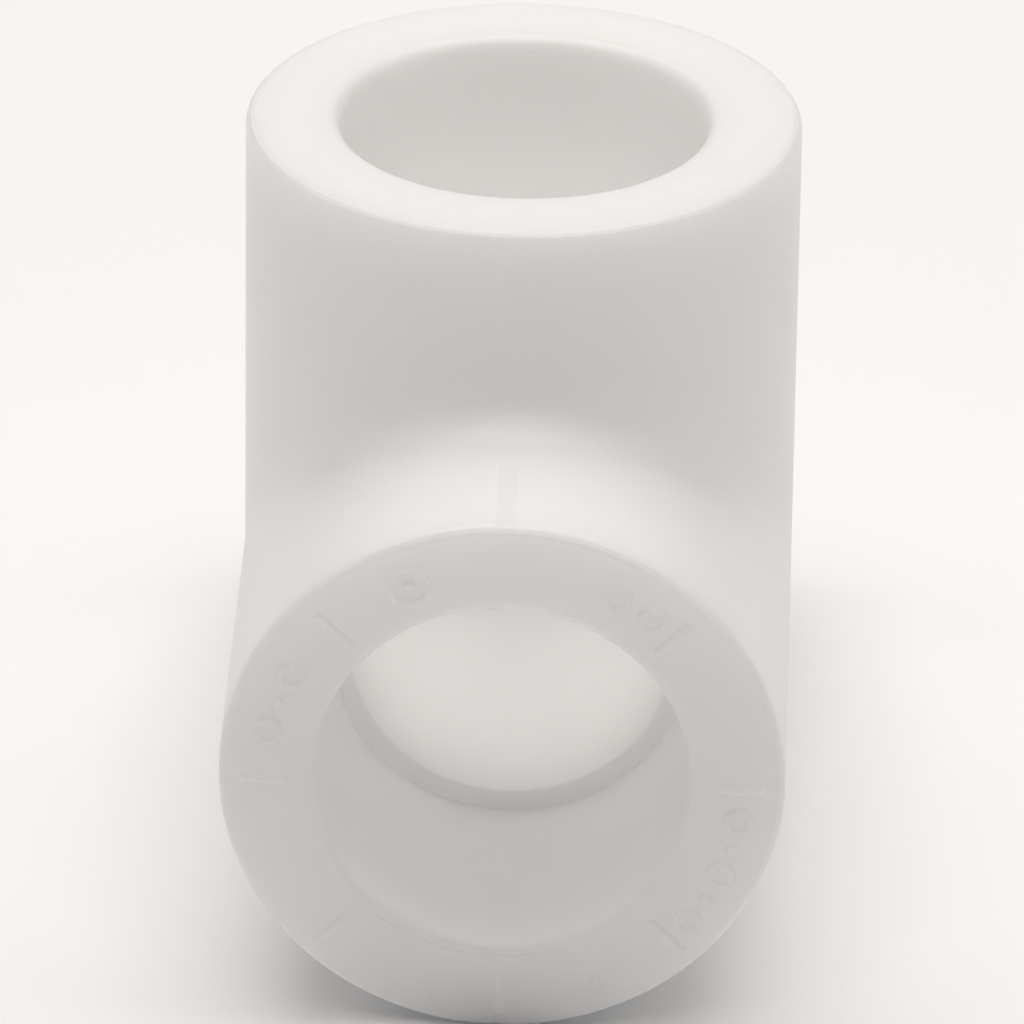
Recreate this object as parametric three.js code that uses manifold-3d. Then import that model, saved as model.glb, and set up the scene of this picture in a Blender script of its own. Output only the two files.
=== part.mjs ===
// An equal tee for 20 mm polypropylene (PP-R) pipe, with three sockets for heat fusion.
// Millimetres, +Z up. The run lies along Y, with its front socket towards -Y, and the branch
// points straight up. A real fitting of this kind is one injection moulding, so it is one mesh.

import * as THREE from "three";
import { LoftGeometry } from "three/addons/geometries/LoftGeometry.js";
import { mergeVertices } from "three/addons/utils/BufferGeometryUtils.js";
import Module from "manifold-3d";

// Driving dimensions.
const OUTER_DIAMETER = 29; // of the run and of the branch
const HALF_LENGTH = 25.6; // from the crossing of the axes to each socket face
const SOCKET_MOUTH_DIAMETER = 19.2;
const SOCKET_ROOT_DIAMETER = 19; // the socket narrows towards its pipe stop
const SOCKET_DEPTH = 14.5;
const WATERWAY_DIAMETER = 16.8;
const RIM_RADIUS = 0.5; // rounding of a socket face's outer edge
const LIP_RADIUS = 0.7; // rounding of a socket's mouth
const STOP_RADIUS = 0.3; // fillet between a socket's wall and its pipe stop
const JUNCTION_RADIUS = 3; // fillet between the branch and the run

// Fineness of the facets.
const SEGMENTS = 64; // around each axis, a multiple of 4 so that run and branch facets meet
const ROUNDING_DIVISIONS = 2;
const JUNCTION_STEPS = 6;

const OUTER_RADIUS = OUTER_DIAMETER / 2;
const MOUTH_RADIUS = SOCKET_MOUTH_DIAMETER / 2;
const ROOT_RADIUS = SOCKET_ROOT_DIAMETER / 2;
const WATERWAY_RADIUS = WATERWAY_DIAMETER / 2;
const STOP_DISTANCE = HALF_LENGTH - SOCKET_DEPTH;
const OVERSHOOT = 2; // how far a cutter runs out past a socket face
const ANCHOR_DEPTH = 1; // how far the junction fillet's solid reaches into the run and branch
const QUARTER = Math.PI / 2;

const wasm = await Module();
wasm.setup();

// A three.js geometry as a solid. Triangles that merging has flattened to a line are left out.
function solidOf(geometry) {
  const bare = new THREE.BufferGeometry();
  bare.setAttribute("position", geometry.attributes.position);
  bare.setIndex(geometry.index);
  const merged = mergeVertices(bare, 1e-4);
  const corners = merged.index.array;
  const triVerts = [];
  for (let i = 0; i < corners.length; i += 3) {
    const [a, b, c] = corners.slice(i, i + 3);
    if (a !== b && b !== c && c !== a) triVerts.push(a, b, c);
  }
  return new wasm.Manifold(
    new wasm.Mesh({
      numProp: 3,
      vertProperties: merged.attributes.position.array,
      triVerts: new Uint32Array(triVerts),
    }),
  );
}

// A solid as a three.js geometry.
function geometryOf(solid) {
  const { vertProperties, triVerts } = solid.getMesh();
  const geometry = new THREE.BufferGeometry();
  geometry.setAttribute("position", new THREE.BufferAttribute(vertProperties, 3));
  geometry.setIndex(new THREE.BufferAttribute(triVerts, 1));
  geometry.computeVertexNormals();
  return geometry;
}

// Half outlines run from the crossing of the axes (y = 0) out to a socket face, with x the radius.
function outerHalf() {
  const path = new THREE.Path();
  path.moveTo(OUTER_RADIUS, 0);
  path.lineTo(OUTER_RADIUS, HALF_LENGTH - RIM_RADIUS);
  path.absarc(OUTER_RADIUS - RIM_RADIUS, HALF_LENGTH - RIM_RADIUS, RIM_RADIUS, 0, QUARTER);
  return path.getPoints(ROUNDING_DIVISIONS);
}

function boreHalf() {
  const path = new THREE.Path();
  path.moveTo(WATERWAY_RADIUS, 0);
  path.lineTo(WATERWAY_RADIUS, STOP_DISTANCE);
  path.absarc(ROOT_RADIUS - STOP_RADIUS, STOP_DISTANCE + STOP_RADIUS, STOP_RADIUS, -QUARTER, 0);
  path.absarc(MOUTH_RADIUS + LIP_RADIUS, HALF_LENGTH - LIP_RADIUS, LIP_RADIUS, Math.PI, QUARTER, true);
  path.lineTo(MOUTH_RADIUS + LIP_RADIUS, HALF_LENGTH + OVERSHOOT);
  return path.getPoints(ROUNDING_DIVISIONS);
}

function mirrored(half) {
  return half.map((point) => new THREE.Vector2(point.x, -point.y)).reverse();
}

// A solid of revolution about the Y axis, closed by flat ends on the axis.
function turned(outline) {
  const first = new THREE.Vector2(0, outline[0].y);
  const last = new THREE.Vector2(0, outline.at(-1).y);
  return new THREE.LatheGeometry([first, ...outline, last], SEGMENTS);
}

// The run lies along Y, through both of its sockets.
function runSolid(half) {
  return solidOf(turned([...mirrored(half), ...half]));
}

// The branch goes from the run's axis towards +Z.
function branchSolid(half) {
  return solidOf(turned(half).rotateX(QUARTER));
}

// One section of the front junction fillet, at an angle around both cylinders from their tops.
// A ball of JUNCTION_RADIUS touches branch and run there, and the arc between is the fillet.
function filletSection(angle) {
  const x = OUTER_RADIUS * Math.sin(angle);
  const slope = Math.cos(angle);
  const ballCentre = OUTER_RADIUS + JUNCTION_RADIUS;
  const anchor = (OUTER_RADIUS - ANCHOR_DEPTH) * slope;
  const points = [new THREE.Vector3(x, -anchor, anchor)];
  for (let step = 0; step <= JUNCTION_STEPS; step++) {
    const turn = (step / JUNCTION_STEPS) * QUARTER;
    const y = -slope * (ballCentre - JUNCTION_RADIUS * Math.cos(turn));
    const z = slope * (ballCentre - JUNCTION_RADIUS * Math.sin(turn));
    points.push(new THREE.Vector3(x, y, z));
  }
  return points;
}

// The fillet shrinks to a point at each side, where run and branch are flush.
function junctionFillet() {
  const sections = [];
  for (let step = 0; step <= SEGMENTS / 2; step++) {
    sections.push(filletSection((step / SEGMENTS) * 2 * Math.PI - QUARTER));
  }
  return new LoftGeometry(sections);
}

function teeBody() {
  const frontFillet = solidOf(junctionFillet());
  const rearFillet = solidOf(junctionFillet().rotateZ(Math.PI));
  const outside = runSolid(outerHalf()).add(branchSolid(outerHalf())).add(frontFillet).add(rearFillet);
  const inside = runSolid(boreHalf()).add(branchSolid(boreHalf()));
  const material = new THREE.MeshStandardMaterial({ color: 0xe6e1dd, roughness: 0.42, metalness: 0 });
  const mesh = new THREE.Mesh(geometryOf(outside.subtract(inside)), material);
  mesh.name = "tee_body";
  // The origin is straight below the crossing of the axes, at the foot of the run.
  mesh.position.set(0, 0, OUTER_RADIUS);
  return mesh;
}

const tee = new THREE.Group();
tee.add(teeBody());

export default tee;
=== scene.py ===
import math

import bmesh
import bpy
from mathutils import Matrix, Vector
from mathutils.geometry import delaunay_2d_cdt


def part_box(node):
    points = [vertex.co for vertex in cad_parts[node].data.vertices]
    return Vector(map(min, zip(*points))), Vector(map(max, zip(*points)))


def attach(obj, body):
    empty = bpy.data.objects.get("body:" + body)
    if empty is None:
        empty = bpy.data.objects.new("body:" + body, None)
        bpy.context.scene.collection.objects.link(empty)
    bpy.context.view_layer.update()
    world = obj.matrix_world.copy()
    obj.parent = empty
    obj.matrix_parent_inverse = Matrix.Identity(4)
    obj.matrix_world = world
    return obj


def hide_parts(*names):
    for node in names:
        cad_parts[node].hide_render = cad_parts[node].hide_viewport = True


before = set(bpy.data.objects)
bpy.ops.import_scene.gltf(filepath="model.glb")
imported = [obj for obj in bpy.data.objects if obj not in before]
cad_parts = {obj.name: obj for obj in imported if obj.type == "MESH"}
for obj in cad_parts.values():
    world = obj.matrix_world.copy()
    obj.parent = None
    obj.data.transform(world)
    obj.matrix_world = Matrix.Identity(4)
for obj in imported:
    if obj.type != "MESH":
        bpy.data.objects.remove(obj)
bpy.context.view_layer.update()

# A white polypropylene (PP-R) tee for 20 mm pipe: one moulding with three sockets. Its run lies
# along Y with the front socket towards -Y, and its branch points up. Lengths are in millimetres,
# and turn into metres when the mesh or the camera is made. The floor's and the lights' are in metres.

MM = 0.001
NODE = "tee_body"
cad_low, cad_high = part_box(NODE)

OUTER_RADIUS = (cad_high.x - cad_low.x) / 2 / MM
HALF_LENGTH = (cad_high.y - cad_low.y) / 2 / MM  # from the crossing of the axes to each face
AXIS_HEIGHT = cad_low.z / MM + OUTER_RADIUS
MOUTH_RADIUS = 9.6
ROOT_RADIUS = 9.5  # the socket narrows towards its pipe stop
SOCKET_DEPTH = 14.5
WATERWAY_RADIUS = 8.4
RIM_RADIUS = 0.5  # rounding of a face's outer edge
LIP_RADIUS = 0.7  # rounding of a socket's mouth
STOP_RADIUS = 0.1  # fillet between a socket's wall and its pipe stop
STOP_EDGE_RADIUS = 0.2  # rounding of the pipe stop's inner edge
JUNCTION_RADIUS = 3.0  # fillet between the branch and the run, outside
INNER_JUNCTION_RADIUS = 0.7

# The flat strip along the top and bottom of the front and rear legs, where the mould's parting line
# was trimmed, and fainter down the front and back of the branch.
STRIP_HALF_WIDTH = 0.46
STRIP_EDGE = 0.08  # share of the half width over which its edges slope
STRIP_DEPTH = 0.035
BRANCH_STRIP_DEPTH = 0.012
STRIP_START = OUTER_RADIUS + 0.6 * JUNCTION_RADIUS  # from the crossing of the axes
STRIP_FULL = OUTER_RADIUS + 2 * JUNCTION_RADIUS  # where it reaches its depth

# The fine creases that the mould's joints left: two around each rim, as steps of its rounding's arc
# with their depths, and one along the lower part of the front socket's mouth.
RIM_CREASES = {9: 0.02, 14: 0.04}
MOUTH_CREASE_STEP = 1  # of the lip's arc
MOUTH_CREASE_DEPTH = 0.04
MOUTH_CREASE_START = (155, 165)  # degrees clockwise from the top, over which it fades in
MOUTH_CREASE_END = (220, 232)  # and over which it fades out

# Fineness of the mesh. The columns around a leg stand close together at the strip, at these shares
# of its half width, and evenly from a last share on.
STRIP_COLUMNS = (0, 0.4, 0.75, 1 - STRIP_EDGE, 1, 1 + STRIP_EDGE, 1.25)
EVEN_COLUMNS_START = 1.6
COLUMN_STEP = 1.5  # degrees
RIM_STEPS = 16
ARC_STEPS = 8
FILLET_STEPS = 14
WALL_STEPS = 12
SOCKET_STEPS = 6
BAR_CORNER_STEPS = 4
PIP_POINTS = 32
RING_POINTS = 48
WELD = 0.0005
GUARD = 0.07  # flat border beside a rounding or a mark, which keeps its shading off the face
TRIANGULATION_TOLERANCE = 1e-6

# Raised marks on a face: how far in from the outline, and the share of the full height there.
MARK_SECTION = ((0.0, 0.0), (0.04, 0.25), (0.09, 0.55), (0.13, 0.78), (0.17, 0.94), (0.2, 1.0))
MARK_HEIGHT = 0.17
FAINT_MARK_HEIGHT = 0.015  # of the branch's marks
MARKS_DROP = 0.25  # the ring of marks sits a little low on the front and rear faces
BAR_INNER = 10.9
BAR_OUTER = 13.45
BAR_WIDTH = 0.52
BAR_CORNER = 0.15
SMALLEST_BAR_CORNER = 0.03
MARK_RADIUS = 12.3  # from the centre to the middle of a ring or a pip
RING_DIAMETER = 1.7
RING_STROKE = 0.48
PIP_DIAMETER = 0.75

# A mesh attribute holds how much painted shade each point takes. The darker colour is painted into the
# mould's creases, where shade falls, and onto the trimmed strip, in place of the sheen it lacks.
PAINTED_SHADE_ATTRIBUTE = "painted_shade"
PAINTED_SHADE_COLOUR = (0.88, 0.875, 0.87, 1)
# Painted shade on the trimmed strip of the legs, and faintly on the branch's strip, in place of the
# sheen it lacks.
STRIP_PAINTED_SHADE = 0.85
BRANCH_STRIP_PAINTED_SHADE = 0.1
# Painted shade in the rims' creases, strongest on the branch.
RIM_CREASE_PAINTED_SHADE = {"front": 0.25, "rear": 0.25, "branch": 0.8}

DARKER_WHITE = (0.965, 0.963, 0.96, 1)
LIGHTER_WHITE = (0.98, 0.978, 0.975, 1)
FLOOR_COLOUR = (0.955, 0.965, 0.975, 1)
FLOOR_REACH = 4  # metres from its middle to an edge
LIGHT_COLOUR = (1, 0.957, 0.925)  # slightly warm
SURROUNDING_LIGHT = 0.02

# The camera's angles are in degrees, and it aims at a point given from the crossing of the axes.
CAMERA_AZIMUTH = 1.61
CAMERA_ELEVATION = 26.9
CAMERA_ROLL = 0.76
CAMERA_DISTANCE = 588.0
CAMERA_LENS = 394.8
AIM_ACROSS = -0.17
AIM_FORWARD = -6.83
AIM_ABOVE_AXIS = 5.88


def arc(centre, radius, start, end, steps):
    """Points (x, y) on an arc, from one angle to another in degrees."""
    angles = [math.radians(start + (end - start) * i / steps) for i in range(steps + 1)]
    return [(centre[0] + radius * math.cos(a), centre[1] + radius * math.sin(a)) for a in angles]


def spaced(start, end, steps):
    """Evenly spaced values from start to end, with both."""
    return [start + (end - start) * i / steps for i in range(steps + 1)]


def half_turn_columns():
    """Angles from -90 to 90 degrees, close together at the edges of the parting line's strip."""
    edge = math.degrees(STRIP_HALF_WIDTH / OUTER_RADIUS)
    start = EVEN_COLUMNS_START * edge
    even = spaced(start, 90, math.ceil((90 - start) / COLUMN_STEP))
    right = [edge * share for share in STRIP_COLUMNS] + even
    return [-angle for angle in reversed(right[1:])] + right


HALF_TURN = half_turn_columns()
FULL_TURN = HALF_TURN + [180 - angle for angle in reversed(HALF_TURN[1:-1])]


def on_circle(radius, angle):
    """Across and up from the centre, for an angle in degrees clockwise from the top."""
    return radius * math.sin(math.radians(angle)), radius * math.cos(math.radians(angle))


# Each end places a point of its face, given across, up and outward from the face's centre.
ENDS = {
    "front": lambda across, up, out: (across, -HALF_LENGTH - out, AXIS_HEIGHT + up),
    "rear": lambda across, up, out: (across, HALF_LENGTH + out, AXIS_HEIGHT + up),
    "branch": lambda across, up, out: (across, -up, AXIS_HEIGHT + HALF_LENGTH + out),
}


def add_grid(skin, rows, closed=False):
    """A patch of four-sided faces between rows of points. Returns the rows of vertices."""
    made = [[skin.verts.new(point) for point in row] for row in rows]
    last = len(made[0]) if closed else len(made[0]) - 1
    for near, far in zip(made, made[1:]):
        for i in range(last):
            j = (i + 1) % len(near)
            skin.faces.new((near[i], near[j], far[j], far[i]))
    return made


def add_turned(skin, end, outline):
    """A surface of revolution at an end, from an outline of (radius, outward)."""
    place = ENDS[end]
    rows = [[place(*on_circle(radius, angle), out) for angle in FULL_TURN] for radius, out in outline]
    return add_grid(skin, rows, closed=True)


def rim_outline():
    """From the outside over the rounding to the face, with the mould's creases."""
    centre = OUTER_RADIUS - RIM_RADIUS
    outline = arc((centre, -RIM_RADIUS), RIM_RADIUS, 0, 90, RIM_STEPS)
    for step, depth in RIM_CREASES.items():
        radius, out = outline[step]
        share = (RIM_RADIUS - depth) / RIM_RADIUS
        outline[step] = (centre + (radius - centre) * share, -RIM_RADIUS + (out + RIM_RADIUS) * share)
    return outline


def bore_outline():
    """From the face's inner edge over the lip, down the socket and over the stop to the waterway."""
    stop_depth = SOCKET_DEPTH - STOP_RADIUS
    lip = arc((MOUTH_RADIUS + LIP_RADIUS, -LIP_RADIUS), LIP_RADIUS, 90, 180, RIM_STEPS)
    wall = list(zip(
        spaced(MOUTH_RADIUS, ROOT_RADIUS, SOCKET_STEPS),
        spaced(-LIP_RADIUS, -stop_depth, SOCKET_STEPS),
    ))
    stop = arc((ROOT_RADIUS - STOP_RADIUS, -stop_depth), STOP_RADIUS, 0, -90, ARC_STEPS)
    edge_centre = (WATERWAY_RADIUS + STOP_EDGE_RADIUS, -SOCKET_DEPTH - STOP_EDGE_RADIUS)
    edge = arc(edge_centre, STOP_EDGE_RADIUS, 90, 180, ARC_STEPS)
    return lip + wall[1:-1] + stop + edge


def leg_column(angle, side, radius, fillet, reach):
    """Down the branch, over the fillet and out along a leg, at an angle around both axes.

    side is -1 for the front leg and 1 for the rear leg."""
    across, slope = on_circle(1, angle)
    corner = (radius + fillet) * slope
    points = [(radius * slope, z) for z in spaced(reach, corner, WALL_STEPS)]
    points += arc((corner, corner), fillet * slope, 180, 270, FILLET_STEPS)[1:-1]
    points += [(y, radius * slope) for y in spaced(corner, reach, WALL_STEPS)]
    return [(radius * across, side * y, AXIS_HEIGHT + z) for y, z in points]


def add_junction(skin, radius, fillet, reach):
    """The run and the branch where they meet, out to a distance from the crossing of their axes."""
    for side in (-1, 1):
        add_grid(skin, [leg_column(angle, side, radius, fillet, reach) for angle in HALF_TURN])
    lengths = spaced(-reach, 0, WALL_STEPS) + spaced(0, reach, WALL_STEPS)[1:]
    rows = []
    for angle in HALF_TURN:
        across, down = on_circle(radius, angle)
        rows.append([(across, y, AXIS_HEIGHT - down) for y in lengths])
    add_grid(skin, rows)


def turned_outline(outline, angle, distance):
    """An outline moved out from the centre of the marks and turned with it."""
    away = math.radians(angle)
    placed = []
    for x, y in outline:
        y += distance
        placed.append((x * math.cos(away) + y * math.sin(away), y * math.cos(away) - x * math.sin(away)))
    return placed


def bar(angle):
    """A radial bar. Like the other marks it gives its outlines, set in by a distance."""

    def outlines(inset):
        corner = max(BAR_CORNER - inset, SMALLEST_BAR_CORNER)
        half_width = BAR_WIDTH / 2 - inset - corner
        half_length = (BAR_OUTER - BAR_INNER) / 2 - inset - corner
        points = []
        for start, x, y in ((0, 1, 1), (90, -1, 1), (180, -1, -1), (270, 1, -1)):
            centre = (x * half_width, y * half_length)
            points += arc(centre, corner, start, start + 90, BAR_CORNER_STEPS)
        return [turned_outline(points, angle, (BAR_OUTER + BAR_INNER) / 2)]

    return outlines


def circle(radius, points):
    """Evenly spaced points of a whole circle, each once."""
    return arc((0, 0), radius, 0, 360, points)[:-1]


def pip(angle, diameter=PIP_DIAMETER):
    """A round dot."""

    def outlines(inset):
        return [turned_outline(circle(diameter / 2 - inset, PIP_POINTS), angle, MARK_RADIUS)]

    return outlines


def ring(angle, diameter=RING_DIAMETER):
    """A plain ring."""

    def outlines(inset):
        rims = (diameter / 2 - inset, diameter / 2 - RING_STROKE + inset)
        return [turned_outline(circle(rim, RING_POINTS), angle, MARK_RADIUS) for rim in rims]

    return outlines


def add_face(skin, end, marks, height, drop=0):
    """A flat ring face with raised marks, triangulated between all their outlines.

    The triangulation also fills the socket's mouth, and those triangles are left out."""
    outer = OUTER_RADIUS - RIM_RADIUS
    inner = MOUTH_RADIUS + LIP_RADIUS
    loops = []
    for radius in (inner, inner + GUARD, outer - GUARD, outer):
        loops.append(([on_circle(radius, angle) for angle in FULL_TURN], 0))
    mouth = range(len(FULL_TURN))
    for mark in marks:
        for inset, share in ((-GUARD, 0), *MARK_SECTION):
            for outline in mark(inset):
                loops.append(([(x, y - drop) for x, y in outline], share * height))
    flat, heights, edges = [], [], []
    for outline, out in loops:
        first = len(flat)
        flat += [Vector(point) for point in outline]
        heights += [out] * len(outline)
        edges += [(first + i, first + (i + 1) % len(outline)) for i in range(len(outline))]
    result = delaunay_2d_cdt(flat, edges, [], 0, TRIANGULATION_TOLERANCE)
    points, _, triangles, sources, _, _ = result
    place = ENDS[end]
    made = [
        skin.verts.new(place(point.x, point.y, heights[source[0]]))
        for point, source in zip(points, sources)
    ]
    for triangle in triangles:
        if not all(sources[i][0] in mouth for i in triangle):
            skin.faces.new([made[i] for i in triangle])


def tick_bars():
    """A bar every 45 degrees, apart from the top."""
    return [bar(45 * i) for i in range(1, 8)]


def front_marks():
    """The bars, and plain rings and pips between them, at angles clockwise from the top."""
    marks = tick_bars()
    marks += [ring(98.5), pip(106), ring(113.5), pip(121), ring(128.5)]
    marks += [pip(156)]
    marks += [ring(283), pip(291), ring(299)]
    marks += [ring(337, 2.5), pip(337, 0.7)]
    marks += [ring(28), ring(38)]
    return marks


def fade(value, start, end):
    """0 before start, 1 after end, and smooth in between."""
    share = min(1, max(0, (value - start) / (end - start)))
    return share * share * (3 - 2 * share)


def press_strip(skin, painted_shade):
    """Sinks the trimmed strip into the outside of the legs, fading out towards the fillets, and paints
    shade onto it in place of the sheen it lacks.
    """
    skin.normal_update()
    middle_of_wall = (OUTER_RADIUS + MOUTH_RADIUS) / 2
    for vertex in skin.verts:
        across, forward, up = vertex.co.x, abs(vertex.co.y), vertex.co.z - AXIS_HEIGHT
        on_run = forward > up
        along, from_axis = (forward, abs(up)) if on_run else (up, forward)
        if from_axis < middle_of_wall:
            continue
        outward = Vector((0, 0, 1)) if on_run else Vector((0, 1, 0))
        inside = 1 - fade(abs(across) / STRIP_HALF_WIDTH, 1 - STRIP_EDGE, 1 + STRIP_EDGE)
        share = inside * fade(along, STRIP_START, STRIP_FULL) * abs(vertex.normal.dot(outward))
        depth = STRIP_DEPTH if on_run else BRANCH_STRIP_DEPTH
        # The strip also gets painted shade, in place of the sheen it lacks.
        painted_shade_amount = STRIP_PAINTED_SHADE if on_run else BRANCH_STRIP_PAINTED_SHADE
        vertex.co -= vertex.normal * share * depth
        vertex[painted_shade] = max(vertex[painted_shade], share * painted_shade_amount)


def score_mouth(edge, painted_shade):
    """Sinks the fine crease along the lower part of the front socket's mouth, and paints shade into it.
    """
    for vertex, angle in zip(edge, FULL_TURN):
        share = fade(angle, *MOUTH_CREASE_START) * (1 - fade(angle, *MOUTH_CREASE_END))
        vertex.co.y += MOUTH_CREASE_DEPTH * share
        # Painted shade in the crease.
        vertex[painted_shade] = share


def tee_skin():
    """The whole fitting as one closed surface."""
    skin = bmesh.new()
    painted_shade = skin.verts.layers.float.new(PAINTED_SHADE_ATTRIBUTE)
    add_junction(skin, OUTER_RADIUS, JUNCTION_RADIUS, HALF_LENGTH - RIM_RADIUS)
    inner_reach = HALF_LENGTH - SOCKET_DEPTH - STOP_EDGE_RADIUS
    add_junction(skin, WATERWAY_RADIUS, INNER_JUNCTION_RADIUS, inner_reach)
    for end in ENDS:
        rim = add_turned(skin, end, rim_outline())
        # Painted shade along the rim's creases.
        for step in RIM_CREASES:
            for vertex in rim[step]:
                vertex[painted_shade] = RIM_CREASE_PAINTED_SHADE[end]
        bore = add_turned(skin, end, bore_outline())
        if end == "front":
            score_mouth(bore[MOUTH_CREASE_STEP], painted_shade)
    add_face(skin, "front", front_marks(), MARK_HEIGHT, MARKS_DROP)
    add_face(skin, "rear", tick_bars(), MARK_HEIGHT, MARKS_DROP)
    add_face(skin, "branch", tick_bars(), FAINT_MARK_HEIGHT)
    bmesh.ops.remove_doubles(skin, verts=skin.verts, dist=WELD)
    bmesh.ops.recalc_face_normals(skin, faces=skin.faces)
    press_strip(skin, painted_shade)
    bmesh.ops.scale(skin, vec=(MM, MM, MM), verts=skin.verts)
    return skin


def make_tee(material):
    skin = tee_skin()
    mesh = bpy.data.meshes.new("tee_moulding")
    skin.to_mesh(mesh)
    skin.free()
    mesh.shade_smooth()
    mesh.materials.append(material)
    tee = bpy.data.objects.new("tee_moulding", mesh)
    bpy.context.scene.collection.objects.link(tee)
    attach(tee, "root")
    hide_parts(NODE)


def new_material(name):
    material = bpy.data.materials.new(name)
    material.use_nodes = True
    return material, material.node_tree.nodes, material.node_tree.links


def noise(nodes, links, position, scale, detail):
    texture = nodes.new("ShaderNodeTexNoise")
    texture.inputs["Scale"].default_value = scale
    texture.inputs["Detail"].default_value = detail
    links.new(position, texture.inputs["Vector"])
    return texture.outputs["Fac"]


def add_bump(nodes, links, height, strength, distance):
    """Relief in the surface, with its distance in millimetres."""
    bump = nodes.new("ShaderNodeBump")
    bump.inputs["Strength"].default_value = strength
    bump.inputs["Distance"].default_value = distance * MM
    links.new(height, bump.inputs["Height"])
    return bump


def mottled_white_and_painted_shade(nodes, links, position):
    """Two near whites, mixed with a darker colour of painted shade where the mesh asks for it."""
    mottle = nodes.new("ShaderNodeValToRGB")
    darker, lighter = mottle.color_ramp.elements
    darker.position = 0.3
    darker.color = DARKER_WHITE
    lighter.position = 0.7
    lighter.color = LIGHTER_WHITE
    links.new(noise(nodes, links, position, scale=120, detail=3), mottle.inputs["Fac"])
    painted_shade = nodes.new("ShaderNodeAttribute")
    painted_shade.attribute_name = PAINTED_SHADE_ATTRIBUTE
    shade = nodes.new("ShaderNodeMixRGB")
    shade.inputs["Color2"].default_value = PAINTED_SHADE_COLOUR
    links.new(painted_shade.outputs["Fac"], shade.inputs["Fac"])
    links.new(mottle.outputs["Color"], shade.inputs["Color1"])
    return shade.outputs["Color"]


def moulded_polypropylene():
    """White, semi-matte and slightly translucent, with the faint mottle of a thick moulding."""
    material, nodes, links = new_material("moulded_polypropylene")
    shader = nodes["Principled BSDF"]
    position = nodes.new("ShaderNodeTexCoord").outputs["Object"]
    links.new(mottled_white_and_painted_shade(nodes, links, position), shader.inputs["Base Color"])

    roughness = nodes.new("ShaderNodeMapRange")
    roughness.inputs["To Min"].default_value = 0.33
    roughness.inputs["To Max"].default_value = 0.44
    links.new(noise(nodes, links, position, scale=400, detail=4), roughness.inputs["Value"])
    links.new(roughness.outputs["Result"], shader.inputs["Roughness"])

    broad = noise(nodes, links, position, scale=180, detail=2)
    waves = add_bump(nodes, links, broad, strength=0.6, distance=0.03)
    fine = noise(nodes, links, position, scale=3000, detail=3)
    grain = add_bump(nodes, links, fine, strength=0.5, distance=0.004)
    links.new(waves.outputs["Normal"], grain.inputs["Normal"])
    links.new(grain.outputs["Normal"], shader.inputs["Normal"])

    shader.inputs["IOR"].default_value = 1.49
    shader.inputs["Subsurface Weight"].default_value = 0.75
    shader.inputs["Subsurface Radius"].default_value = (1, 0.97, 0.94)
    shader.inputs["Subsurface Scale"].default_value = 8 * MM
    return material


def pale_floor():
    material, nodes, _ = new_material("pale_floor")
    shader = nodes["Principled BSDF"]
    shader.inputs["Base Color"].default_value = FLOOR_COLOUR
    shader.inputs["Roughness"].default_value = 0.9
    return material


def make_floor(material):
    """A plain floor, level with the bottom of the run."""
    surface = bmesh.new()
    bmesh.ops.create_grid(surface, x_segments=8, y_segments=8, size=FLOOR_REACH)
    mesh = bpy.data.meshes.new("floor")
    surface.to_mesh(mesh)
    surface.free()
    mesh.materials.append(material)
    floor = bpy.data.objects.new("floor", mesh)
    floor.location.z = cad_low.z
    bpy.context.scene.collection.objects.link(floor)


def add_softbox(name, location, size, power):
    """A square area light, aimed at the middle of the object."""
    light = bpy.data.lights.new(name, "AREA")
    light.shape = "SQUARE"
    light.size = size
    light.energy = power
    light.color = LIGHT_COLOUR
    softbox = bpy.data.objects.new(name, light)
    softbox.location = location
    aim = Vector((0, 0, AXIS_HEIGHT * MM)) - softbox.location
    softbox.rotation_euler = aim.to_track_quat("-Z", "Y").to_euler()
    bpy.context.scene.collection.objects.link(softbox)


def light_studio():
    world = bpy.data.worlds.new("studio")
    world.use_nodes = True
    background = world.node_tree.nodes["Background"]
    background.inputs["Color"].default_value = (*LIGHT_COLOUR, 1)
    background.inputs["Strength"].default_value = SURROUNDING_LIGHT
    bpy.context.scene.world = world
    add_softbox("overhead", (0, -0.3, 0.97), size=0.85, power=3.9)
    add_softbox("overhead_rear", (0, 0.3, 0.95), size=0.85, power=5.3)
    add_softbox("back", (0, 0.9, 0.35), size=1.0, power=2.0)
    for side in (-1, 1):
        add_softbox("side", (0.6 * side, 0, 0.8), size=0.5, power=0.87)
        add_softbox("low_side", (0.6 * side, 0.1, 0.3), size=0.5, power=0.25)


def make_camera():
    """A long lens, looking down at the front socket, with the camera's own axes as its matrix."""
    azimuth, elevation = math.radians(CAMERA_AZIMUTH), math.radians(CAMERA_ELEVATION)
    right = Vector((math.cos(azimuth), math.sin(azimuth), 0))
    back = Vector((
        math.sin(azimuth) * math.cos(elevation),
        -math.cos(azimuth) * math.cos(elevation),
        math.sin(elevation),
    ))
    target = right * AIM_ACROSS + Vector((0, AIM_FORWARD, AXIS_HEIGHT + AIM_ABOVE_AXIS))
    lens = bpy.data.cameras.new("camera")
    lens.lens = CAMERA_LENS
    camera = bpy.data.objects.new("camera", lens)
    upright = Matrix((right, back.cross(right), back)).transposed().to_4x4()
    place = Matrix.Translation((target + back * CAMERA_DISTANCE) * MM)
    camera.matrix_world = place @ upright @ Matrix.Rotation(math.radians(CAMERA_ROLL), 4, "Z")
    bpy.context.scene.collection.objects.link(camera)
    bpy.context.scene.camera = camera


make_camera()
make_floor(pale_floor())
light_studio()
make_tee(moulded_polypropylene())
bpy.context.scene.view_settings.view_transform = "Standard"
# Light crosses the translucent walls and the white sockets many times before it leaves.
bpy.context.scene.cycles.diffuse_bounces = 24
bpy.context.scene.cycles.max_bounces = 32
